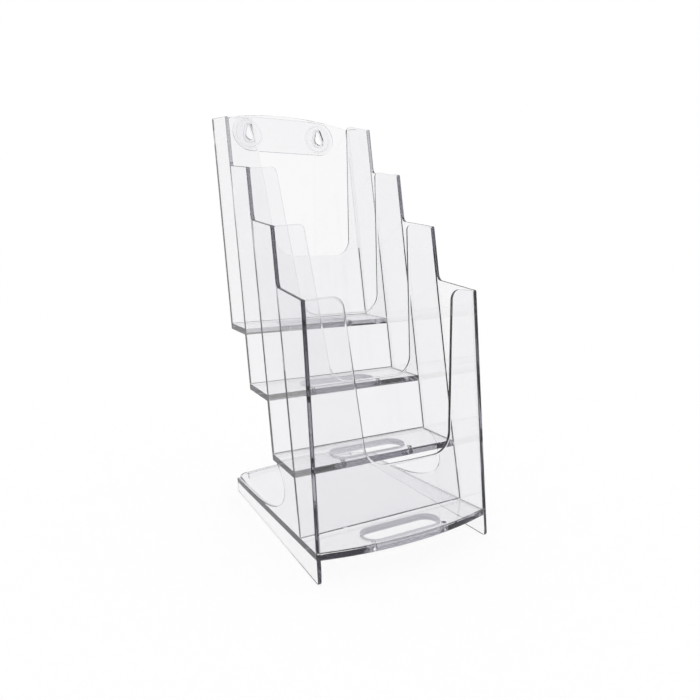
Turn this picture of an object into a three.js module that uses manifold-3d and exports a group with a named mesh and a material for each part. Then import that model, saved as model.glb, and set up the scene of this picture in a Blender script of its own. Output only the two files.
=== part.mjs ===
// Four-tier leaflet rack of clear moulded sheet. Four pockets climb backwards in even steps between two
// stepped side panels, on a base plate with side skirts, under a crowned back panel with two keyhole hangers.
// Millimetres, +Z up. +X is the rack's right as its user faces it, +Y runs to the back.
import * as THREE from 'three';
import { mergeVertices } from 'three/addons/utils/BufferGeometryUtils.js';
import Module from 'manifold-3d';

const wasm = await Module();
wasm.setup();

// ---------------------------------------------------------------- driving dimensions

const rackWidth = 124; // outside, at the front feet
const sideToe = 1.5; // degrees that each side panel closes in towards the back
const sideWall = 2.4;
const panelWall = 2.4;
const floorWall = 4;
const plateWall = 4.2;
const bondGap = 0.3; // solvent bond line between two pieces

const tierCount = 4;
const tierRun = 42; // step from one pocket wall to the next, to the back
const tierRise = 37.4; // step from one pocket floor to the next, upwards
const lean = 11.7; // degrees that the pocket walls lean back
const frontLean = 6.8; // degrees that the first pocket's front leans back
const secondWallSetback = 33; // from the front foot to the second wall, under its floor
const secondFloorHeight = 51.6; // ground to the underside of the second floor
const lastPocketDepth = 33.5; // fourth wall's front face to the back panel's rear face
const wallHeight = 152; // along the slope, floor underside to wing corner
const frontWallHeight = 143.4; // along the slope, plate top to wing corner of the first pocket

const backHeight = 155.8; // along the slope, fourth floor's underside to the back panel's corner
const backCrown = 6; // rise of the back panel's top edge at its middle
const sideTopSlope = 6.7; // degrees that each step of the side panel rises to the back
const stepFillet = 5;
const edgeRound = 1.2; // outline corners of the side panels
const footRound = 2;

const plateFrontHeight = 17.8; // ground to the plate's top, at the front
const plateRearHeight = 10.5; // ground to the plate's top, at the skirts' rear ends
const skirtLength = 150;
const frontBow = 8.5; // how far the first front and the plate's front edge swell forwards
const plateTail = 9; // how far the plate's rear corners run past the skirts
const rearBow = 5.5;
const rearCornerRadius = 9;
const rearLipHeight = 8.8; // from the plate's top down to the lip's lower edge
const rearLipWall = 2.4;

const braceWidth = 21.3; // side panel left behind the second wall's face, at the waist of the rear cut-away
const braceWaistDrop = 15.3; // second floor's underside to the waist
const braceHead = 11.5; // waist back to where the cut-away meets the second floor's underside
const braceSweep = 61; // waist to where the cut-away runs out on the skirt's top edge

const fingerTopWidth = 76; // finger cut-out, measured at the wings' tops
const fingerFootWidth = 58;
const fingerDepth = 97.5; // wing corner to the cut-out's lower edge
const fingerFootRadius = 13;
const wingRise = 1.6; // wing top, from the side up to the cut-out
const wingRadius = 4;
const frontWingRadius = 7;

const slotLength = 51.5;
const slotWidth = 14;
const pinHoleDiameter = 3;
const pinHoleSpacing = 51;
const pinHoleInset = 3.6; // front wall's inner face to the pin hole's centre

const hangerSpacing = 58;
const hangerDrop = 8.9; // back panel's corner height to the hangers' centre, along the slope
const hangerRadius = 13.2; // round ends of the stiffening strip
const hangerStripWall = 1.6;
const stripMargin = 0.8; // strip to the back panel's top edge
const bossDiameter = 22;
const bossHeight = 1.6;
const keyholeHeadDiameter = 7.2;
const keyholeNeckDiameter = 3.2;
const keyholeRise = 7; // head centre up to the neck's centre
const keyholeHeadDrop = 1.8; // hanger centre down to the head's centre

const arcSteps = 10; // segments in a corner's arc
const bowSteps = 36; // segments along a bowed edge
const roundShare = 0.999; // share of a half-round end that its two corner arcs take, so that they never meet

// ---------------------------------------------------------------- worked-out values

const leanAngle = THREE.MathUtils.degToRad(lean);
const frontLeanAngle = THREE.MathUtils.degToRad(frontLean);
const leanShear = Math.tan(leanAngle);
const toeShear = Math.tan(THREE.MathUtils.degToRad(sideToe));
const wallDepth = panelWall / Math.cos(leanAngle); // a leaning wall's thickness along Y
const stepSlope = Math.tan(THREE.MathUtils.degToRad(sideTopSlope));
const plateFrontY = plateFrontHeight * Math.tan(frontLeanAngle);
const plateTilt = Math.atan2(plateFrontHeight - plateRearHeight, skirtLength - plateFrontY);
const reach = 1000; // larger than the rack, for cutting tools

/** Half the clear width between the side panels at a depth, less the bond line. */
function insideHalfWidth(y) {
  return rackWidth / 2 - sideWall - bondGap - y * toeShear;
}

/** Height of the base plate's top face at a depth. */
function plateTop(y) {
  return plateFrontHeight - (y - plateFrontY) * Math.tan(plateTilt);
}

/** Foot of a pocket wall's front face, level with the underside of that tier's floor. */
function wallFoot(tier) {
  const step = tier - 2;
  return new THREE.Vector2(secondWallSetback + step * tierRun, secondFloorHeight + step * tierRise);
}

/** Depth of a pocket wall's front face at a height. */
function wallFront(tier, height) {
  const foot = wallFoot(tier);
  return foot.x + (height - foot.y) * leanShear;
}

/** Wing corner at the top of a tier's front, as depth and height. */
function wingCorner(tier) {
  if (tier === 1) {
    const rise = frontWallHeight * Math.cos(frontLeanAngle);
    return new THREE.Vector2(plateFrontY + frontWallHeight * Math.sin(frontLeanAngle), plateFrontHeight + rise);
  }
  const foot = wallFoot(tier);
  return new THREE.Vector2(
    foot.x + wallHeight * Math.sin(leanAngle),
    foot.y + wallHeight * Math.cos(leanAngle),
  );
}

/** Foot of the back panel's rear face, level with the underside of the last floor. */
function backFoot() {
  const foot = wallFoot(tierCount);
  return new THREE.Vector2(foot.x + lastPocketDepth, foot.y);
}

/** Depth at which the wall behind a tier has its rear face, at a height. */
function rearFace(tier, height) {
  if (tier === tierCount) {
    const foot = backFoot();
    return foot.x + (height - foot.y) * leanShear;
  }
  return wallFront(tier + 1, height) + wallDepth;
}

// ---------------------------------------------------------------- outlines

/** Points of an outline whose corners [x, y, radius] are rounded by tangent arcs. */
function roundedCorners(corners, closed) {
  const points = [];
  const count = corners.length;
  corners.forEach(([x, y, radius], index) => {
    const corner = new THREE.Vector2(x, y);
    const isEnd = !closed && (index === 0 || index === count - 1);
    if (!radius || isEnd) {
      points.push(corner);
      return;
    }
    const [px, py] = corners[(index + count - 1) % count];
    const [nx, ny] = corners[(index + 1) % count];
    const back = new THREE.Vector2(px, py).sub(corner).normalize();
    const ahead = new THREE.Vector2(nx, ny).sub(corner).normalize();
    const half = Math.acos(THREE.MathUtils.clamp(back.dot(ahead), -1, 1)) / 2;
    const start = corner.clone().addScaledVector(back, radius / Math.tan(half));
    const end = corner.clone().addScaledVector(ahead, radius / Math.tan(half));
    const middle = back.clone().add(ahead).normalize();
    const centre = corner.clone().addScaledVector(middle, radius / Math.sin(half));
    const from = start.clone().sub(centre).angle();
    const to = end.clone().sub(centre).angle();
    const sweep = THREE.MathUtils.euclideanModulo(to - from + Math.PI, 2 * Math.PI) - Math.PI;
    for (let step = 0; step <= arcSteps; step += 1) {
      const angle = from + (sweep * step) / arcSteps;
      points.push(new THREE.Vector2(Math.cos(angle), Math.sin(angle)).multiplyScalar(radius).add(centre));
    }
  });
  return points;
}

/** Points from one side to the other on an arc that swells by a rise in its middle. */
function bowedEdge(halfWidth, y, rise) {
  const radius = (halfWidth ** 2 + rise ** 2) / (2 * rise);
  const points = [];
  for (let step = 0; step <= bowSteps; step += 1) {
    const x = halfWidth * ((2 * step) / bowSteps - 1);
    points.push(new THREE.Vector2(x, y + Math.sqrt(radius ** 2 - x ** 2) - (radius - rise)));
  }
  return points;
}

/** Swell of the bowed front at a distance from the middle, as a positive forward offset. */
function frontSwell(x, halfWidth) {
  const radius = (halfWidth ** 2 + frontBow ** 2) / (2 * frontBow);
  return Math.sqrt(radius ** 2 - x ** 2) - (radius - frontBow);
}

/** Closed path of a long slot with round ends. */
function slotPath(y) {
  const reachX = slotLength / 2;
  const half = slotWidth / 2;
  const corners = [
    [-reachX, y - half, half * roundShare],
    [reachX, y - half, half * roundShare],
    [reachX, y + half, half * roundShare],
    [-reachX, y + half, half * roundShare],
  ];
  return new THREE.Path(roundedCorners(corners, true));
}

/** Closed circular path. */
function roundPath(x, y, diameter) {
  return new THREE.Path().absarc(x, y, diameter / 2, 0, 2 * Math.PI);
}

/** Closed path of a keyhole: a round head that narrows upwards to a smaller round neck. */
function keyholePath(x, height) {
  const head = keyholeHeadDiameter / 2;
  const neck = keyholeNeckDiameter / 2;
  const headHeight = height - keyholeHeadDrop;
  const neckHeight = headHeight + keyholeRise;
  const tangent = Math.asin((head - neck) / keyholeRise);
  const path = new THREE.Path();
  path.absarc(x, neckHeight, neck, tangent, Math.PI - tangent);
  path.absarc(x, headHeight, head, Math.PI - tangent, 2 * Math.PI + tangent);
  return path;
}

/** Height of the hangers' centres, along the back panel's slope. */
function hangerHeight() {
  return backHeight - hangerDrop;
}

/** Front view of a pocket wall, x across and y along the slope from its foot, with the finger cut-out. */
function wallOutline(foot, height, tilt, below, radius) {
  const bottomHalf = insideHalfWidth(foot.x - below * Math.sin(tilt));
  const topHalf = insideHalfWidth(foot.x + height * Math.sin(tilt));
  const cutTop = fingerTopWidth / 2;
  const cutFoot = fingerFootWidth / 2;
  const cutFloor = height - fingerDepth;
  const right = [
    [cutFoot, cutFloor, fingerFootRadius],
    [cutTop, height + wingRise, radius],
    [topHalf, height, edgeRound],
    [bottomHalf, -below, 0],
  ];
  const left = right.map(([x, y, round]) => [-x, y, round]).reverse();
  return new THREE.Shape(roundedCorners([...right, ...left], true).reverse());
}

/** Front view of the back panel with its crowned top, drawn smaller by a margin. */
function backOutline(below, margin) {
  const foot = backFoot();
  const bottomHalf = insideHalfWidth(foot.x - below * Math.sin(leanAngle)) - margin;
  const topHalf = insideHalfWidth(foot.x + backHeight * Math.sin(leanAngle)) - margin;
  const crown = bowedEdge(topHalf, backHeight - margin, backCrown).reverse();
  const base = [new THREE.Vector2(-bottomHalf, -below), new THREE.Vector2(bottomHalf, -below)];
  return new THREE.Shape([...base, ...crown]);
}

/** Side view of a side panel, x to the back and y up: stepped pockets, rear cut-away and skirt. */
function sideOutline() {
  const corners = [[0, 0, footRound]];
  for (let tier = 1; tier < tierCount; tier += 1) {
    const wing = wingCorner(tier);
    const next = wallFoot(tier + 1);
    const stepY = (next.x - wing.x + (wing.y - next.y) * leanShear) / (1 - stepSlope * leanShear);
    corners.push([wing.x, wing.y, edgeRound]);
    corners.push([wing.x + stepY, wing.y + stepY * stepSlope, stepFillet]);
  }
  const lastWing = wingCorner(tierCount);
  const back = backFoot();
  corners.push([lastWing.x, lastWing.y, edgeRound]);
  corners.push([
    back.x + backHeight * Math.sin(leanAngle),
    back.y + backHeight * Math.cos(leanAngle),
    edgeRound,
  ]);
  for (let tier = tierCount; tier > 1; tier -= 1) {
    const under = wallFoot(tier).y;
    corners.push([rearFace(tier, under), under, edgeRound]);
    if (tier > 2) {
      corners.push([rearFace(tier - 1, under), under, edgeRound]);
    }
  }
  const under = secondFloorHeight;
  const waistHeight = under - braceWaistDrop;
  const waist = new THREE.Vector2(wallFront(2, waistHeight) + braceWidth, waistHeight);
  const start = new THREE.Vector2(waist.x + braceHead, under);
  const runOut = new THREE.Vector2(waist.x + braceSweep, plateTop(waist.x + braceSweep));
  const fall = waist.y - runOut.y;
  const upper = new THREE.CubicBezierCurve(
    start,
    new THREE.Vector2(waist.x + braceHead / 2, start.y - braceWaistDrop / 5),
    new THREE.Vector2(waist.x, (start.y + waist.y) / 2),
    waist,
  );
  const lower = new THREE.CubicBezierCurve(
    waist,
    new THREE.Vector2(waist.x, waist.y - fall / 2),
    new THREE.Vector2(waist.x + braceSweep * 0.4, plateTop(waist.x + braceSweep * 0.4)),
    runOut,
  );
  const skirt = [
    [runOut.x, runOut.y, 0],
    [skirtLength, plateRearHeight, edgeRound],
    [skirtLength, 0, edgeRound],
    [footRound, 0, 0],
  ];
  const rounded = roundedCorners([[skirtLength, 0, 0], ...corners, [start.x, start.y, 0]], false);
  return new THREE.Shape([
    ...rounded.slice(1, -1),
    ...upper.getPoints(arcSteps),
    ...lower.getPoints(bowSteps / 2).slice(1),
    ...roundedCorners(skirt, false).slice(1, -1),
  ]);
}

/** Length of the base plate's sides, from its front corners to its rear corners. */
function plateLength() {
  return (skirtLength - plateFrontY) / Math.cos(plateTilt) + plateTail;
}

/** Plan of the base plate, x across and y to the back from the front corners. */
function plateOutline(frontHalf, rearHalf) {
  const length = plateLength();
  const front = bowedEdge(frontHalf, 0, frontBow).map((point) => point.setY(-point.y));
  const tail = bowedEdge(rearHalf - rearCornerRadius, length, rearBow).reverse();
  const corner = [];
  for (let step = 1; step < arcSteps; step += 1) {
    const angle = (Math.PI / 2) * (step / arcSteps);
    const x = rearHalf - rearCornerRadius * (1 - Math.cos(angle));
    corner.push(new THREE.Vector2(x, length - rearCornerRadius * (1 - Math.sin(angle))));
  }
  const mirrored = corner.map((point) => new THREE.Vector2(-point.x, point.y)).reverse();
  return new THREE.Shape([
    ...front,
    new THREE.Vector2(rearHalf, length - rearCornerRadius),
    ...corner,
    ...tail,
    ...mirrored,
    new THREE.Vector2(-rearHalf, length - rearCornerRadius),
  ]);
}

// ---------------------------------------------------------------- solids

/** Prism of a shape along +Z. */
function prism(shape, depth) {
  return new THREE.ExtrudeGeometry(shape, { depth, steps: 1, bevelEnabled: false, curveSegments: arcSteps });
}

/** Manifold solid of a closed three.js geometry. */
function toSolid(geometry) {
  const bare = geometry.clone();
  bare.deleteAttribute('normal');
  bare.deleteAttribute('uv');
  const welded = mergeVertices(bare, 1e-4);
  const mesh = new wasm.Mesh({
    numProp: 3,
    vertProperties: Float32Array.from(welded.attributes.position.array),
    triVerts: Uint32Array.from(welded.index.array),
  });
  return new wasm.Manifold(mesh);
}

/** Three.js geometry of a manifold solid. */
function toGeometry(solid) {
  const mesh = solid.getMesh();
  const geometry = new THREE.BufferGeometry();
  geometry.setAttribute('position', new THREE.BufferAttribute(mesh.vertProperties, mesh.numProp));
  geometry.setIndex(new THREE.BufferAttribute(mesh.triVerts, 1));
  const flat = geometry.toNonIndexed();
  flat.computeVertexNormals();
  return flat;
}

/** Stands a front-view prism up as a leaning wall: shape y runs up the slope, thickness to the back. */
function standUp(geometry, foot, tilt) {
  geometry.rotateX(Math.PI / 2 - tilt);
  geometry.translate(0, foot.x, foot.y);
  return geometry;
}

/** Cuts away everything under a plane through (y, height) that falls to the back by an angle. */
function trimUnder(geometry, y, height, fall) {
  const tool = new THREE.BoxGeometry(reach, reach, reach);
  tool.translate(0, 0, -reach / 2);
  tool.rotateX(-fall);
  tool.translate(0, y, height);
  return toGeometry(toSolid(geometry).subtract(toSolid(tool)));
}

// ---------------------------------------------------------------- pieces

/** Stepped side panel; side is +1 for the right and -1 for the left. */
function sidePanel(side) {
  const geometry = prism(sideOutline(), sideWall);
  const toRack = new THREE.Matrix4().makeBasis(
    new THREE.Vector3(0, 1, 0),
    new THREE.Vector3(0, 0, 1),
    new THREE.Vector3(1, 0, 0),
  );
  geometry.applyMatrix4(toRack);
  geometry.translate(side > 0 ? rackWidth / 2 - sideWall : -rackWidth / 2, 0, 0);
  const toeIn = new THREE.Matrix4().set(1, -side * toeShear, 0, 0, 0, 1, 0, 0, 0, 0, 1, 0, 0, 0, 0, 1);
  return geometry.applyMatrix4(toeIn);
}

/** Base plate between the skirts: first pocket's floor, slotted, with a lip under its rear edge. */
function basePlate() {
  const frontHalf = insideHalfWidth(plateFrontY);
  const rearHalf = insideHalfWidth(plateFrontY + plateLength());
  const pocketRear = wallFront(2, plateFrontHeight) - plateFrontY;
  const outline = plateOutline(frontHalf, rearHalf);
  const holeX = pinHoleSpacing / 2;
  const holeY = panelWall + pinHoleInset - frontSwell(holeX, frontHalf);
  outline.holes.push(slotPath((pocketRear + panelWall - frontBow) / 2));
  outline.holes.push(roundPath(-holeX, holeY, pinHoleDiameter));
  outline.holes.push(roundPath(holeX, holeY, pinHoleDiameter));
  const plate = prism(outline, plateWall).translate(0, 0, -plateWall);

  const outer = bowedEdge(rearHalf - rearCornerRadius, plateLength(), rearBow);
  const inner = outer.map((point) => new THREE.Vector2(point.x, point.y - rearLipWall)).reverse();
  const lip = prism(new THREE.Shape([...outer, ...inner]), rearLipHeight).translate(0, 0, -rearLipHeight);

  const joined = toGeometry(toSolid(plate).add(toSolid(lip)));
  joined.rotateX(-plateTilt);
  return joined.translate(0, plateFrontY, plateFrontHeight);
}

/** Bowed front of the first pocket, standing on the plate's front edge. */
function bowedFront() {
  const foot = new THREE.Vector2(plateFrontY, plateFrontHeight);
  const below = frontBow;
  const halfWidth = insideHalfWidth(plateFrontY);
  const outer = bowedEdge(halfWidth, 0, frontBow).map((point) => point.setY(-point.y));
  const inner = outer.map((point) => new THREE.Vector2(point.x, point.y + panelWall)).reverse();
  const band = prism(new THREE.Shape([...outer, ...inner]), frontWallHeight + wingRise + 2 * below);
  band.translate(0, 0, -below);
  const view = prism(wallOutline(foot, frontWallHeight, frontLeanAngle, below, frontWingRadius), reach);
  view.translate(0, 0, -reach / 2);
  view.rotateX(Math.PI / 2);
  const upright = toGeometry(toSolid(band).intersect(toSolid(view)));
  upright.rotateX(-frontLeanAngle);
  upright.translate(0, foot.x, foot.y);
  return trimUnder(upright, foot.x, foot.y + bondGap, plateTilt);
}

/** Flat wall of an upper pocket, which runs down to the floor of the pocket in front of it. */
function pocketWall(tier) {
  const foot = wallFoot(tier);
  const below = tierRise + floorWall;
  const outline = wallOutline(foot, wallHeight, leanAngle, below, wingRadius);
  const wall = standUp(prism(outline, panelWall).translate(0, 0, -panelWall), foot, leanAngle);
  if (tier === 2) {
    return trimUnder(wall, plateFrontY, plateFrontHeight + bondGap, plateTilt);
  }
  return trimUnder(wall, 0, wallFoot(tier - 1).y + floorWall + bondGap, 0);
}

/** Slotted floor of an upper pocket, bonded behind its wall and under the next one. */
function pocketFloor(tier) {
  const under = wallFoot(tier).y;
  const front = wallFront(tier, under) + wallDepth + bondGap;
  const rear = rearFace(tier, under);
  const frontHalf = insideHalfWidth(front);
  const rearHalf = insideHalfWidth(rear);
  const clearRear = rear - wallDepth;
  const outline = new THREE.Shape([
    new THREE.Vector2(-frontHalf, front),
    new THREE.Vector2(frontHalf, front),
    new THREE.Vector2(rearHalf, rear),
    new THREE.Vector2(-rearHalf, rear),
  ]);
  outline.holes.push(slotPath((front + clearRear) / 2));
  outline.holes.push(roundPath(-pinHoleSpacing / 2, front + pinHoleInset, pinHoleDiameter));
  outline.holes.push(roundPath(pinHoleSpacing / 2, front + pinHoleInset, pinHoleDiameter));
  const follow = new THREE.Matrix4().set(1, 0, 0, 0, 0, 1, leanShear, 0, 0, 0, 1, 0, 0, 0, 0, 1);
  return prism(outline, floorWall).applyMatrix4(follow).translate(0, 0, under);
}

/** Stands a piece of the back up, its front face a distance behind the back panel's rear face. */
function standBehind(geometry, thickness, behind) {
  geometry.translate(0, 0, -thickness - behind);
  return standUp(geometry, backFoot(), leanAngle);
}

/** Crowned back panel with its two keyholes. */
function backPanel() {
  const outline = backOutline(floorWall, 0);
  outline.holes.push(keyholePath(-hangerSpacing / 2, hangerHeight()));
  outline.holes.push(keyholePath(hangerSpacing / 2, hangerHeight()));
  const panel = standBehind(prism(outline, panelWall), panelWall, -panelWall);
  return trimUnder(panel, 0, backFoot().y + floorWall + bondGap, 0);
}

/** Round-ended strip that stiffens the back panel's top edge behind both keyholes. */
function hangerStrip() {
  const end = hangerSpacing / 2 + hangerRadius;
  const round = hangerRadius * roundShare;
  const centre = hangerHeight();
  const corners = [
    [-end, centre - hangerRadius, round],
    [end, centre - hangerRadius, round],
    [end, centre + hangerRadius, round],
    [-end, centre + hangerRadius, round],
  ];
  const outline = new THREE.Shape(roundedCorners(corners, true));
  outline.holes.push(keyholePath(-hangerSpacing / 2, centre));
  outline.holes.push(keyholePath(hangerSpacing / 2, centre));
  const blank = toSolid(prism(outline, hangerStripWall));
  const limit = toSolid(prism(backOutline(0, stripMargin), hangerStripWall));
  return standBehind(toGeometry(blank.intersect(limit)), hangerStripWall, bondGap);
}

/** Round hanging boss behind one keyhole; side is +1 for the right and -1 for the left. */
function hangerBoss(side) {
  const x = (side * hangerSpacing) / 2;
  const outline = new THREE.Shape(roundPath(x, hangerHeight(), bossDiameter).getPoints(3 * arcSteps));
  outline.holes.push(keyholePath(x, hangerHeight()));
  return standBehind(prism(outline, bossHeight), bossHeight, 2 * bondGap + hangerStripWall);
}

// ---------------------------------------------------------------- assembly

const clearSheet = { color: 0xeceef5, roughness: 0.06, metalness: 0, transparent: true, opacity: 0.35 };
const rack = new THREE.Group();

/** Adds one named piece to the rack with a material of its own. */
function addPiece(name, geometry) {
  const piece = new THREE.Mesh(geometry, new THREE.MeshStandardMaterial(clearSheet));
  piece.name = name;
  rack.add(piece);
}

addPiece('left_side_panel', sidePanel(-1));
addPiece('right_side_panel', sidePanel(1));
addPiece('base_plate', basePlate());
addPiece('tier_1_front_panel', bowedFront());
for (let tier = 2; tier <= tierCount; tier += 1) {
  addPiece(`tier_${tier}_front_panel`, pocketWall(tier));
  addPiece(`tier_${tier}_floor`, pocketFloor(tier));
}
addPiece('back_panel', backPanel());
addPiece('hanger_strip', hangerStrip());
addPiece('left_hanger_boss', hangerBoss(-1));
addPiece('right_hanger_boss', hangerBoss(1));

// The origin is on the ground under the middle of the rack's outer box.
const outerBox = new THREE.Box3().setFromObject(rack);
rack.position.y = -(outerBox.min.y + outerBox.max.y) / 2;
rack.updateMatrixWorld(true);

export default rack;
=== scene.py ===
"""Clear tiered brochure rack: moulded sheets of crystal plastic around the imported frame."""

import logging
import math
from dataclasses import dataclass, field
from enum import Enum
from typing import ClassVar, Iterable, Union

import bmesh
import bpy
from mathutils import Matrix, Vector
from mathutils.bvhtree import BVHTree

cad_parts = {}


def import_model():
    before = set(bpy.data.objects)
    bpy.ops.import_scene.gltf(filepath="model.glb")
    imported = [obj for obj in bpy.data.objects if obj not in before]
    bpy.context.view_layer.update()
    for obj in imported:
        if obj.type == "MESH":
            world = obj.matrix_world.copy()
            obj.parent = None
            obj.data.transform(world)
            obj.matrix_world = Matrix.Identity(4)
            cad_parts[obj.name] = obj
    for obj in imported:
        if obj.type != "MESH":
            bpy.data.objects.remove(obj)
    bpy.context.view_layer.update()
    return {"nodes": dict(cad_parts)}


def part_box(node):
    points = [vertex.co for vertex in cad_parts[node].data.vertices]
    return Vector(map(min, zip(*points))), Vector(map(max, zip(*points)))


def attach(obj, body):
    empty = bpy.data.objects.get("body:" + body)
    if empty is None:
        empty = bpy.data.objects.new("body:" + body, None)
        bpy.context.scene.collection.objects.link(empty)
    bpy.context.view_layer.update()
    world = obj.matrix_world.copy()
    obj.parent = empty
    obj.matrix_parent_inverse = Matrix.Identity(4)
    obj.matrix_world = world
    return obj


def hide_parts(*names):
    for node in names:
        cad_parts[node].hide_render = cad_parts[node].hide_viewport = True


LOG = logging.getLogger("brochure_rack")
MM = 0.001
ROOT = "root"
SEAM_INDEX = 1  # material index of a bonded patch
SATIN = "satin"  # face attribute, 1 on satin faces
FLAT_ANGLE = math.radians(0.2)  # triangles within this angle are one flat face
OPPOSED = -0.985  # cosine between two faces that look at each other
PARALLEL = 0.9999  # cosine between two faces that look the same way
END_FACING = 0.95  # share of a normal along X, on a sheet's end
FLATNESS = 0.01 * MM
WELD = 0.002 * MM
SHORTEST_EDGE = 0.03 * MM


# ------------------------------------------------------------------ shader maths


class Bench:
    """The node tree that a finish is being wired up on."""

    def __init__(self, tree: bpy.types.NodeTree) -> None:
        """Clears the tree, so that every node on it is this finish's own.

        Args:
            tree: Node tree of a material or a world.
        """
        self.tree = tree
        tree.nodes.clear()

    def node(self, kind: str, settings: dict | None = None, inputs: dict | None = None) -> bpy.types.Node:
        """Adds one node.

        Args:
            kind: Node type, such as "ShaderNodeTexNoise".
            settings: Node properties, set first, such as a Math node's operation.
            inputs: Values or links of its sockets, by name or index.

        Returns:
            The new node.
        """
        made = self.tree.nodes.new(kind)
        for name, value in (settings or {}).items():
            if name == "stops":
                self._stops(made.color_ramp, value)
            else:
                setattr(made, name, value)
        for name, value in (inputs or {}).items():
            self._feed(made.inputs[name], value)
        return made

    def _stops(self, ramp: bpy.types.ColorRamp, stops: Iterable[tuple[float, float]]) -> None:
        """Writes the stops of a new ramp, which has two.

        Args:
            ramp: The ramp.
            stops: Position and grey of each stop.
        """
        for element, (position, grey) in zip(ramp.elements, stops):
            element.position = position
            element.color = (grey, grey, grey, 1.0)

    def _feed(self, socket: bpy.types.NodeSocket, value: object) -> None:
        """Links or sets one socket.

        Args:
            socket: The input to feed.
            value: A wire, an output socket, a number or a colour.
        """
        if isinstance(value, Wire):
            self.tree.links.new(value.socket, socket)
        elif isinstance(value, bpy.types.NodeSocket):
            self.tree.links.new(value, socket)
        elif isinstance(value, (tuple, list)) and len(value) == 3 and socket.type == "RGBA":
            socket.default_value = (*value, 1.0)
        else:
            socket.default_value = value

    def wire(self, socket: bpy.types.NodeSocket) -> "Wire":
        """Wraps an output, so that it can stand in a sum."""
        return Wire(self, socket)


Value = Union["Wire", float]
Colour = tuple[float, float, float]
WHITE: Colour = (1.0, 1.0, 1.0)
MIX_A, MIX_B = 6, 7  # a Mix node's two colour inputs


@dataclass(frozen=True)
class Wire:
    """One output socket that can be added and multiplied."""

    bench: Bench
    socket: bpy.types.NodeSocket

    def _math(self, operation: str, first: Value, second: Value) -> "Wire":
        """Adds the Math node of one operation and wraps its result."""
        made = self.bench.node("ShaderNodeMath", {"operation": operation}, {0: first, 1: second})
        return Wire(self.bench, made.outputs[0])

    def __add__(self, other: Value) -> "Wire":
        """Sum with a wire or a number."""
        return self._math("ADD", self, other)

    def __mul__(self, other: Value) -> "Wire":
        """Product with a wire or a number."""
        return self._math("MULTIPLY", self, other)

    __radd__ = __add__
    __rmul__ = __mul__


# ------------------------------------------------------------------ finishes


@dataclass(frozen=True)
class ClearPlastic:
    """Polished clear moulding: a faint cool body tint, flow ripples, handling haze and satin slot walls."""

    name: str
    clean_tint: Colour = (0.995, 0.995, 0.998)
    worn_tint: Colour = (0.985, 0.986, 0.992)
    body_tint: Colour = (0.012, 0.0, 0.1)
    body_density: float = 20.0  # absorption per metre
    ior: float = 1.49
    ripple_length: float = 22 * MM
    ripple_height: float = 0.012 * MM
    smear_scale: float = 38.0
    smear_stops: tuple[tuple[float, float], ...] = ((0.45, 0.0), (0.75, 1.0))
    dust_scale: float = 900.0
    haze: float = 0.012  # roughness of the most handled patches
    satin_roughness: float = 0.6
    frost: float = 0.6  # share of light that a satin face scatters
    frost_tint: Colour = (0.76, 0.755, 0.81)

    def material(self) -> bpy.types.Material:
        """Builds the material, once for all pieces.

        Returns:
            The material.
        """
        found = bpy.data.materials.get(self.name)
        if found:
            return found
        made = bpy.data.materials.new(self.name)
        made.use_nodes = True
        bench = Bench(made.node_tree)
        place = bench.node("ShaderNodeTexCoord").outputs["Object"]
        flow = bench.node(
            "ShaderNodeTexNoise", None,
            {"Vector": place, "Scale": 1.0 / self.ripple_length, "Detail": 1.0, "Roughness": 0.4},
        )
        smear = bench.node(
            "ShaderNodeTexNoise", None,
            {"Vector": place, "Scale": self.smear_scale, "Detail": 5.0, "Roughness": 0.62},
        )
        dust = bench.node(
            "ShaderNodeTexNoise", None, {"Vector": place, "Scale": self.dust_scale, "Detail": 2.0}
        )
        patches = bench.node(
            "ShaderNodeValToRGB", {"stops": self.smear_stops}, {"Fac": smear.outputs["Fac"]}
        )
        worn = bench.wire(patches.outputs["Color"])
        grain = bench.wire(dust.outputs["Fac"])
        satin = bench.wire(bench.node("ShaderNodeAttribute", {"attribute_name": SATIN}).outputs["Fac"])
        roughness = worn * grain * self.haze + satin * self.satin_roughness
        tone = bench.node(
            "ShaderNodeMix", {"data_type": "RGBA"},
            {"Factor": worn, MIX_A: self.clean_tint, MIX_B: self.worn_tint},
        )
        ripples = bench.node(
            "ShaderNodeBump", None,
            {"Strength": 1.0, "Distance": self.ripple_height, "Height": flow.outputs["Fac"]},
        )
        shader = bench.node(
            "ShaderNodeBsdfPrincipled", None,
            {
                "Base Color": tone.outputs["Result"],
                "Roughness": roughness,
                "IOR": self.ior,
                "Transmission Weight": 1.0,
                "Normal": ripples.outputs["Normal"],
            },
        )
        matt = bench.node("ShaderNodeBsdfDiffuse", None, {"Color": self.frost_tint})
        surface = bench.node(
            "ShaderNodeMixShader", None,
            {"Fac": satin * self.frost, 1: shader.outputs["BSDF"], 2: matt.outputs["BSDF"]},
        )
        body = bench.node(
            "ShaderNodeVolumeAbsorption", None, {"Color": self.body_tint, "Density": self.body_density}
        )
        bench.node(
            "ShaderNodeOutputMaterial", None,
            {"Surface": surface.outputs["Shader"], "Volume": body.outputs["Volume"]},
        )
        return made


@dataclass(frozen=True)
class BondedSeam:
    """Cured solvent joint: the same plastic on both sides, so light goes straight across."""

    name: str

    def material(self) -> bpy.types.Material:
        """Builds the material, once for all pieces.

        Returns:
            The material.
        """
        found = bpy.data.materials.get(self.name)
        if found:
            return found
        made = bpy.data.materials.new(self.name)
        made.use_nodes = True
        bench = Bench(made.node_tree)
        through = bench.node("ShaderNodeBsdfTransparent", None, {"Color": WHITE})
        bench.node("ShaderNodeOutputMaterial", None, {"Surface": through.outputs[0]})
        return made


class Plastic(Enum):
    """Finishes of the rack's clear pieces."""

    SHEET = ClearPlastic("clear_sheet")
    SEAM = BondedSeam("bonded_seam")


# ------------------------------------------------------------------ solids and joints


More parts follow.
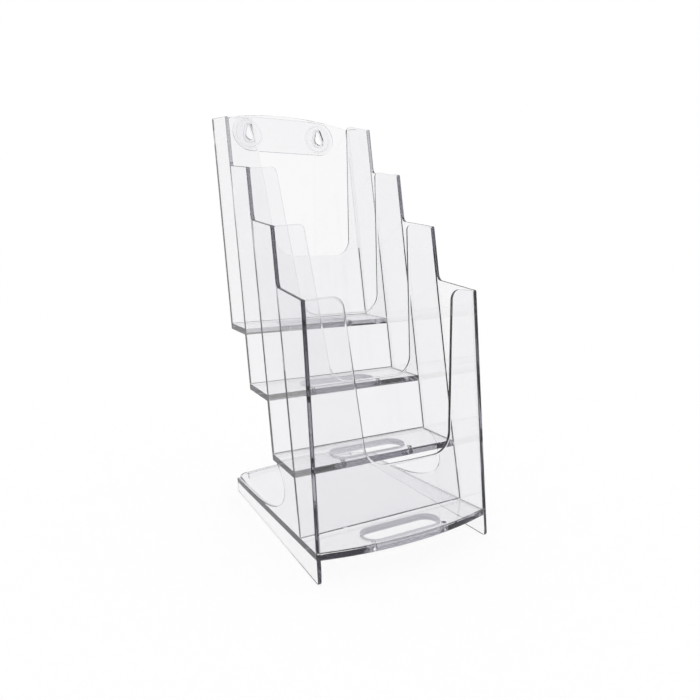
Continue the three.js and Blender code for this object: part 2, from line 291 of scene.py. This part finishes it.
@dataclass(frozen=True)
class Box:
    """Axis-aligned box."""

    low: Vector
    high: Vector

    @classmethod
    def of(cls, points: Iterable[Vector]) -> "Box":
        """Smallest box about some points.

        Args:
            points: The points.

        Returns:
            The box.
        """
        rows = list(zip(*points))
        return cls(Vector([min(row) for row in rows]), Vector([max(row) for row in rows]))

    def grown(self, by: float) -> "Box":
        """This box with a margin all round."""
        margin = Vector((by, by, by))
        return Box(self.low - margin, self.high + margin)

    def meets(self, other: "Box") -> bool:
        """True if the two boxes share a point."""
        return all(self.low[i] <= other.high[i] and other.low[i] <= self.high[i] for i in range(3))


@dataclass(frozen=True)
class Plane:
    """Plane of a flat face."""

    point: Vector
    normal: Vector

    @classmethod
    def under(cls, face: bmesh.types.BMFace) -> "Plane":
        """Plane that a face lies in."""
        return cls(face.verts[0].co.copy(), face.normal.copy())

    def holds(self, face: bmesh.types.BMFace) -> bool:
        """Tests whether a face lies in this plane.

        Args:
            face: The face.

        Returns:
            True if it does and looks the same way.
        """
        if face.normal.dot(self.normal) < PARALLEL:
            return False
        return abs((face.verts[0].co - self.point).dot(self.normal)) < FLATNESS

    def is_met_by(self, face: bmesh.types.BMFace, reach: float) -> bool:
        """Tests whether a face looks straight at this plane.

        Args:
            face: The face, of another solid.
            reach: How far off the plane it may be.

        Returns:
            True if it does, from within reach.
        """
        if face.normal.dot(self.normal) > OPPOSED:
            return False
        return any(abs((vert.co - self.point).dot(self.normal)) < reach for vert in face.verts)


def unique(items: Iterable) -> list:
    """Drops repeats and keeps the order, so that every run cuts and rounds in the same order."""
    return list(dict.fromkeys(items))


def settle_order(form: bmesh.types.BMesh) -> None:
    """Puts the faces in the order of their vertices, so that every run goes on from the same order.

    Args:
        form: The mesh, changed in place.
    """
    form.verts.index_update()
    ordered = sorted(form.faces, key=lambda face: [vert.index for vert in face.verts])
    places = {face: place for place, face in enumerate(ordered)}
    form.faces.sort(key=places.get)


def copy_solid(node: str) -> bmesh.types.BMesh:
    """Copies a node's solid with its doubles merged.

    Args:
        node: Name of the node.

    Returns:
        A new bmesh of triangles.
    """
    form = bmesh.new()
    form.from_mesh(bpy.data.objects[node].data)
    bmesh.ops.remove_doubles(form, verts=form.verts, dist=WELD)
    form.normal_update()
    return form


def make_faces_whole(form: bmesh.types.BMesh) -> None:
    """Joins the triangles of each flat face, but never across the border of a bonded patch.

    Args:
        form: The mesh, changed in place.
    """
    bmesh.ops.dissolve_limit(
        form, angle_limit=FLAT_ANGLE, verts=form.verts, edges=form.edges,
        use_dissolve_boundaries=False, delimit={"MATERIAL"},
    )
    form.normal_update()


@dataclass
class Bonds:
    """Solvent-bonded joints: where two sheets meet, their surfaces are one seam.

    Partners are given as the beginnings of the names of the nodes that a piece is bonded to.
    """

    nodes: list[str]
    reach: float = 0.6 * MM  # widest gap that is still a joint
    overlap: float = 0.7 * MM  # how far past an outline its cut runs
    solids: dict[str, bmesh.types.BMesh] = field(default_factory=dict)
    trees: dict[str, BVHTree] = field(default_factory=dict)

    def __post_init__(self) -> None:
        """Keeps a solid and a search tree of every node."""
        for node in self.nodes:
            solid = copy_solid(node)
            make_faces_whole(solid)
            self.solids[node] = solid
            self.trees[node] = BVHTree.FromBMesh(solid)

    def mark(self, form: bmesh.types.BMesh, node: str, partners: tuple[str, ...]) -> None:
        """Cuts the patches where a piece is bonded to its partners and gives them the seam's material.

        Args:
            form: The piece's mesh, still in triangles, cut in place.
            node: Its node.
            partners: Its partners.
        """
        planes: list[Plane] = []
        for face in form.faces:
            if not any(plane.holds(face) for plane in planes):
                planes.append(Plane.under(face))
        for other, solid in self.solids.items():
            if other == node or not other.startswith(partners):
                continue
            for plane in planes:
                for facing in solid.faces:
                    if plane.is_met_by(facing, self.reach):
                        self._cut(form, plane, facing)
            for face in form.faces:
                if self._is_bonded(face, other):
                    face.material_index = SEAM_INDEX

    def hides(self, point: Vector, node: str, partners: tuple[str, ...]) -> bool:
        """Tests whether a point lies in a joint.

        Args:
            point: The point, on the piece.
            node: The piece's node.
            partners: Its partners.

        Returns:
            True if one of the partners is within reach.
        """
        return any(
            tree.find_nearest(point, self.reach)[0] is not None
            for other, tree in self.trees.items()
            if other != node and other.startswith(partners)
        )

    def _cut(self, form: bmesh.types.BMesh, plane: Plane, facing: bmesh.types.BMFace) -> None:
        """Cuts one plane of the piece along the outline of the partner's face.

        Args:
            form: The piece's mesh.
            plane: The plane to cut.
            facing: The partner's face.
        """
        for edge in facing.edges:
            first, second = (vert.co for vert in edge.verts)
            across = (second - first).cross(facing.normal)
            if across.length < SHORTEST_EDGE * SHORTEST_EDGE:
                continue
            span = Box.of([first, second]).grown(self.overlap)
            here = [
                face for face in form.faces
                if plane.holds(face) and span.meets(Box.of([vert.co for vert in face.verts]))
            ]
            if here:
                around = unique(item for face in here for item in (*face.verts, *face.edges))
                bmesh.ops.bisect_plane(
                    form, geom=around + here, dist=WELD, plane_co=first, plane_no=across.normalized()
                )

    def _is_bonded(self, face: bmesh.types.BMFace, other: str) -> bool:
        """True if a face's middle lies against the partner's surface and faces it."""
        _, normal, _, _ = self.trees[other].find_nearest(face.calc_center_median(), self.reach)
        return normal is not None and normal.dot(face.normal) < OPPOSED


# ------------------------------------------------------------------ pieces


@dataclass
class Moulding:
    """One clear piece, cleaned up from its place in the frame and given soft moulded edges."""

    node: str
    bonds: Bonds
    partners: tuple[str, ...] = ()
    outline_radius: float = 0.5 * MM
    slot_radius: float = 0.5 * MM
    hole_radius: float = 0.3 * MM
    bond_fill: float = 0.0  # how far a sheet's ends run out into their joints
    edge_steps: int = 4
    sharp_from: float = math.radians(32)  # edges sharper than this are rounded
    crease_from: float = math.radians(40)  # faces closer than this shade as one surface
    slot_span: tuple[float, float] = (40 * MM, 60 * MM)
    hole_span: float = 16 * MM

    def form(self) -> bmesh.types.BMesh:
        """Copies the node's solid.

        Returns:
            The piece's mesh, with whole faces, sharp edges and no satin yet.
        """
        form = copy_solid(self.node)
        make_faces_whole(form)
        form.faces.layers.float.new(SATIN)
        return form

    def finish(self, form: bmesh.types.BMesh) -> bpy.types.Object:
        """Rounds the free edges, marks the joints and makes the object that stands for the frame's node.

        Args:
            form: The piece's mesh.

        Returns:
            The object, in place.
        """
        self._round_edges(form)
        if self.partners:
            bmesh.ops.triangulate(form, faces=form.faces)
            settle_order(form)
            self.bonds.mark(form, self.node, self.partners)
            make_faces_whole(form)
            self._fill_joints(form)
        for face in form.faces:
            face.smooth = True
        mesh = bpy.data.meshes.new(f"{self.node}_moulding")
        form.to_mesh(mesh)
        mesh.normals_split_custom_set(self._soft_normals(form))
        form.free()
        piece = bpy.data.objects.new(f"{self.node}_clear", mesh)
        bpy.context.scene.collection.objects.link(piece)
        return piece

    def dress(self, piece: bpy.types.Object, plastic: Plastic) -> None:
        """Gives the piece its finish and its place in the frame.

        Args:
            piece: The object to dress.
            plastic: Its finish.
        """
        piece.data.materials.append(plastic.value.material())
        piece.data.materials.append(Plastic.SEAM.value.material())
        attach(piece, ROOT)
        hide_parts(self.node)
        seams = sum(face.material_index == SEAM_INDEX for face in piece.data.polygons)
        LOG.info("%s: %d faces, %d bonded", piece.name, len(piece.data.polygons), seams)

    def _fill_joints(self, form: bmesh.types.BMesh) -> None:
        """Runs a sheet's two ends out to the side panels that they are bonded to.

        Args:
            form: The piece's mesh, with its seams marked.
        """
        if not self.bond_fill:
            return
        for side in (-1.0, 1.0):
            ends = [
                face for face in form.faces
                if face.material_index == SEAM_INDEX and face.normal.x * side > END_FACING
            ]
            if not ends:
                continue
            broadest = max(ends, key=lambda face: face.calc_area())
            verts = unique(vert for face in ends for vert in face.verts)
            bmesh.ops.translate(form, verts=verts, vec=broadest.normal * self.bond_fill)
        form.normal_update()

    def _round_edges(self, form: bmesh.types.BMesh) -> None:
        """Rounds every free edge and makes slot walls satin; edges that lie in a joint stay sharp.

        Args:
            form: The piece's mesh.
        """
        satin = form.faces.layers.float[SATIN]
        outline, slots, holes = [], [], []
        for run in self._crests(form):
            box = Box.of([vert.co for edge in run for vert in edge.verts])
            span = (box.high - box.low).length
            if span < self.hole_span and self._is_ring(run):
                holes += run
            elif self.slot_span[0] < span < self.slot_span[1] and self._is_ring(run):
                slots += run
            else:
                outline += run
        radii = (self.outline_radius, self.slot_radius, self.hole_radius)
        for run, radius in zip((outline, slots, holes), radii):
            if run:
                rounded = bmesh.ops.bevel(
                    form, geom=run, offset=radius, offset_type="OFFSET", segments=self.edge_steps,
                    profile=0.5, affect="EDGES", clamp_overlap=False, material=-1,
                )
                if run is slots:
                    for face in rounded["faces"]:
                        face[satin] = 1.0
                settle_order(form)

    def _soft_normals(self, form: bmesh.types.BMesh) -> list[Vector]:
        """Works out a shading normal for every corner, so that flats stay flat and roundings stay round.

        Args:
            form: The finished mesh.

        Returns:
            The normals, in the order of the faces and of each face's corners.
        """
        form.normal_update()
        form.faces.index_update()
        areas = [face.calc_area() for face in form.faces]
        limit = math.cos(self.crease_from)
        normals = []
        for face in form.faces:
            for corner in face.loops:
                mean = Vector()
                for beside in corner.vert.link_faces:
                    if beside.normal.dot(face.normal) > limit:
                        mean += beside.normal * areas[beside.index]
                normals.append(mean.normalized() if mean.length else face.normal.copy())
        return normals

    def _crests(self, form: bmesh.types.BMesh) -> list[list[bmesh.types.BMEdge]]:
        """Finds the sharp edges that no joint hides.

        Args:
            form: The piece's mesh.

        Returns:
            The edges in connected runs.
        """
        waiting: dict[bmesh.types.BMEdge, None] = {}
        for edge in form.edges:
            if len(edge.link_faces) != 2 or edge.calc_face_angle(0.0) < self.sharp_from:
                continue
            first, second = (vert.co for vert in edge.verts)
            if not self.bonds.hides((first + second) / 2, self.node, self.partners):
                waiting[edge] = None
        runs = []
        while waiting:
            run = [waiting.popitem()[0]]
            for edge in run:
                beside = unique(item for vert in edge.verts for item in vert.link_edges if item in waiting)
                for item in beside:
                    del waiting[item]
                run += beside
            runs.append(run)
        return runs

    def _is_ring(self, run: list[bmesh.types.BMEdge]) -> bool:
        """Tests whether a run of edges is a plain ring.

        Args:
            run: Connected edges.

        Returns:
            True if it closes on itself and never forks.
        """
        members = set(run)
        return all(
            sum(item in members for item in vert.link_edges) == 2 for edge in run for vert in edge.verts
        )


# ------------------------------------------------------------------ sub-assemblies


@dataclass
class SubAssembly:
    """A group of pieces that are moulded alike."""

    bonds: Bonds
    partners: ClassVar[tuple[str, ...]] = ()

    def mouldings(self) -> list[Moulding]:
        """The pieces, in order, each with its own sizes."""
        raise NotImplementedError

    def shape(self, form: bmesh.types.BMesh, moulding: Moulding) -> None:
        """Adds the detail that only this kind of piece has, which is none by default."""

    def build(self) -> None:
        """Builds and dresses every piece."""
        for moulding in self.mouldings():
            form = moulding.form()
            self.shape(form, moulding)
            self.dress(moulding, moulding.finish(form))

    def dress(self, moulding: Moulding, piece: bpy.types.Object) -> None:
        """Gives a piece the rack's clear plastic."""
        moulding.dress(piece, Plastic.SHEET)


@dataclass
class SidePanels(SubAssembly):
    """Two stepped side panels with skirts, which hold every other sheet between them."""

    edge_radius: float = 0.6 * MM
    partners: ClassVar[tuple[str, ...]] = ("base_plate", "tier_", "back_panel")

    def mouldings(self) -> list[Moulding]:
        """The left and the right panel, alike.

        Returns:
            The pieces.
        """
        return [
            Moulding(f"{side}_side_panel", self.bonds, self.partners, outline_radius=self.edge_radius)
            for side in ("left", "right")
        ]


@dataclass
class BasePlate(SubAssembly):
    """Slotted plate between the skirts: the first pocket's floor."""

    edge_radius: float = 1.1 * MM
    slot_radius: float = 2.05 * MM  # the slot's wall is all but a half round
    bond_fill: float = 0.28 * MM
    partners: ClassVar[tuple[str, ...]] = ("left_side", "right_side", "tier_")

    def mouldings(self) -> list[Moulding]:
        """The one plate.

        Returns:
            The piece.
        """
        return [
            Moulding(
                "base_plate", self.bonds, self.partners, outline_radius=self.edge_radius,
                slot_radius=self.slot_radius, bond_fill=self.bond_fill,
            )
        ]


@dataclass
class Pockets(SubAssembly):
    """Four pocket walls with finger cut-outs, and the slotted floors of the upper three."""

    wall_radius: float = 1.05 * MM
    floor_radius: float = 0.6 * MM
    slot_radius: float = 1.95 * MM  # the slots' walls are all but half rounds
    bond_fill: float = 0.28 * MM
    tiers: int = 4
    partners: ClassVar[tuple[str, ...]] = ("left_side", "right_side", "base_plate", "tier_", "back_panel")

    def mouldings(self) -> list[Moulding]:
        """Walls from the front to the back, then the floors upwards; the base plate is the first floor.

        Returns:
            The pieces.
        """
        walls = [
            Moulding(
                f"tier_{tier}_front_panel", self.bonds, self.partners, outline_radius=self.wall_radius,
                bond_fill=self.bond_fill,
            )
            for tier in range(1, self.tiers + 1)
        ]
        floors = [
            Moulding(
                f"tier_{tier}_floor", self.bonds, self.partners, outline_radius=self.floor_radius,
                slot_radius=self.slot_radius, bond_fill=self.bond_fill,
            )
            for tier in range(2, self.tiers + 1)
        ]
        return walls + floors


@dataclass
class BackPanel(SubAssembly):
    """Crowned back panel with its two keyholes."""

    edge_radius: float = 1.05 * MM
    keyhole_radius: float = 0.5 * MM
    bond_fill: float = 0.28 * MM
    partners: ClassVar[tuple[str, ...]] = ("left_side", "right_side", "tier_4")

    def mouldings(self) -> list[Moulding]:
        """The one panel.

        Returns:
            The piece.
        """
        return [
            Moulding(
                "back_panel", self.bonds, self.partners, outline_radius=self.edge_radius,
                hole_radius=self.keyhole_radius, bond_fill=self.bond_fill,
            )
        ]


@dataclass
class Hangers(SubAssembly):
    """Stiffening strip behind the back panel and the two bosses, each a dished disc with raised rims."""

    strip_radius: float = 0.4 * MM
    boss_radius: float = 0.16 * MM
    rim_width: float = 1.0 * MM
    rim_slope: float = 0.35 * MM
    dish_depth: float = 0.8 * MM
    facing_back: float = 0.9  # share of a normal along Y, on a boss's rear face

    def mouldings(self) -> list[Moulding]:
        """The strip, then the bosses, each with one radius for all its edges.

        Returns:
            The pieces.
        """
        radii = {
            "hanger_strip": self.strip_radius,
            "left_hanger_boss": self.boss_radius,
            "right_hanger_boss": self.boss_radius,
        }
        return [
            Moulding(node, self.bonds, outline_radius=radius, slot_radius=radius, hole_radius=radius)
            for node, radius in radii.items()
        ]

    def shape(self, form: bmesh.types.BMesh, moulding: Moulding) -> None:
        """Dishes a boss's rear face between a rim round its edge and a rim round its keyhole.

        Args:
            form: The piece's mesh.
            moulding: The piece.
        """
        if not moulding.node.endswith("boss"):
            return
        dish = [face for face in form.faces if face.normal.y > self.facing_back]
        for thickness, depth in ((self.rim_width, 0.0), (self.rim_slope, -self.dish_depth)):
            bmesh.ops.inset_region(
                form, faces=dish, thickness=thickness, depth=depth, use_even_offset=True, use_boundary=True
            )


# ------------------------------------------------------------------ studio


@dataclass
class Studio:
    """Pale floor, soft surround and the camera."""

    azimuth: float = -29.055
    elevation: float = 10.684
    lens: float = 31.737
    sensor_width: float = 36.0
    clip: tuple[float, float] = (0.01, 100.0)
    stand: tuple[float, float, float] = (-0.200565, -0.286273, 0.195616)  # from between the front feet
    floor_size: float = 14.0
    floor_gap: float = 0.05 * MM
    floor_grey: float = 0.2
    floor_glow: float = 0.8
    surround_glow: float = 1.0
    clear_bounces: int = 48
    glossy_bounces: int = 32
    diffuse_bounces: int = 3
    see_through_bounces: int = 64

    def build(self) -> None:
        """Sets up everything that isn't part of the rack."""
        self.camera()
        self.floor()
        self.surround()
        self.render_settings()

    def camera(self) -> None:
        """Stands the camera a fixed way off the middle of the front feet."""
        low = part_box("left_side_panel")[0]
        data = bpy.data.cameras.new("camera")
        data.lens = self.lens
        data.sensor_width = self.sensor_width
        made = bpy.data.objects.new("camera", data)
        bpy.context.scene.collection.objects.link(made)
        made.location = Vector((0.0, low.y, 0.0)) + Vector(self.stand)
        turn, tip = math.radians(self.azimuth), math.radians(self.elevation)
        back = Vector((math.sin(turn) * math.cos(tip), -math.cos(turn) * math.cos(tip), math.sin(tip)))
        made.rotation_mode = "QUATERNION"
        made.rotation_quaternion = (-back).to_track_quat("-Z", "Y")
        data.clip_start, data.clip_end = self.clip
        bpy.context.scene.camera = made

    def floor(self) -> None:
        """Lays the pale floor just under the skirts."""
        form = bmesh.new()
        bmesh.ops.create_grid(form, x_segments=1, y_segments=1, size=self.floor_size / 2)
        bmesh.ops.translate(form, verts=form.verts, vec=(0.0, 0.0, -self.floor_gap))
        mesh = bpy.data.meshes.new("floor")
        form.to_mesh(mesh)
        form.free()
        made = bpy.data.objects.new("floor", mesh)
        bpy.context.scene.collection.objects.link(made)
        paper = bpy.data.materials.new("floor_paper")
        paper.use_nodes = True
        bench = Bench(paper.node_tree)
        matt = bench.node("ShaderNodeBsdfDiffuse", None, {"Color": (self.floor_grey,) * 3})
        lit = bench.node("ShaderNodeEmission", None, {"Color": WHITE, "Strength": self.floor_glow})
        both = bench.node("ShaderNodeAddShader", None, {0: matt.outputs[0], 1: lit.outputs[0]})
        bench.node("ShaderNodeOutputMaterial", None, {"Surface": both.outputs[0]})
        mesh.materials.append(paper)

    def surround(self) -> None:
        """Lights the room softly from all round."""
        world = bpy.data.worlds.new("studio")
        bpy.context.scene.world = world
        world.use_nodes = True
        bench = Bench(world.node_tree)
        glow = bench.node("ShaderNodeBackground", None, {"Color": WHITE, "Strength": self.surround_glow})
        bench.node("ShaderNodeOutputWorld", None, {"Surface": glow.outputs[0]})

    def render_settings(self) -> None:
        """Allows enough bounces for light to cross every sheet."""
        scene = bpy.context.scene
        scene.view_settings.view_transform = "Standard"
        scene.view_settings.look = "None"
        scene.cycles.max_bounces = self.clear_bounces
        scene.cycles.transmission_bounces = self.clear_bounces
        scene.cycles.glossy_bounces = self.glossy_bounces
        scene.cycles.diffuse_bounces = self.diffuse_bounces
        scene.cycles.transparent_max_bounces = self.see_through_bounces
        scene.cycles.volume_bounces = 0
        scene.cycles.caustics_reflective = True
        scene.cycles.caustics_refractive = True
        scene.cycles.blur_glossy = 0.0
        scene.cycles.sample_clamp_indirect = 0.0


def main() -> None:
    """Builds the rack sub-assembly by sub-assembly around the frame, then the studio."""
    logging.basicConfig(level=logging.INFO, format="%(name)s: %(message)s")
    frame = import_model()
    bonds = Bonds(sorted(frame["nodes"]))
    for kind in (SidePanels, BasePlate, Pockets, BackPanel, Hangers):
        kind(bonds).build()
    Studio().build()


if __name__ == "__main__":
    main()
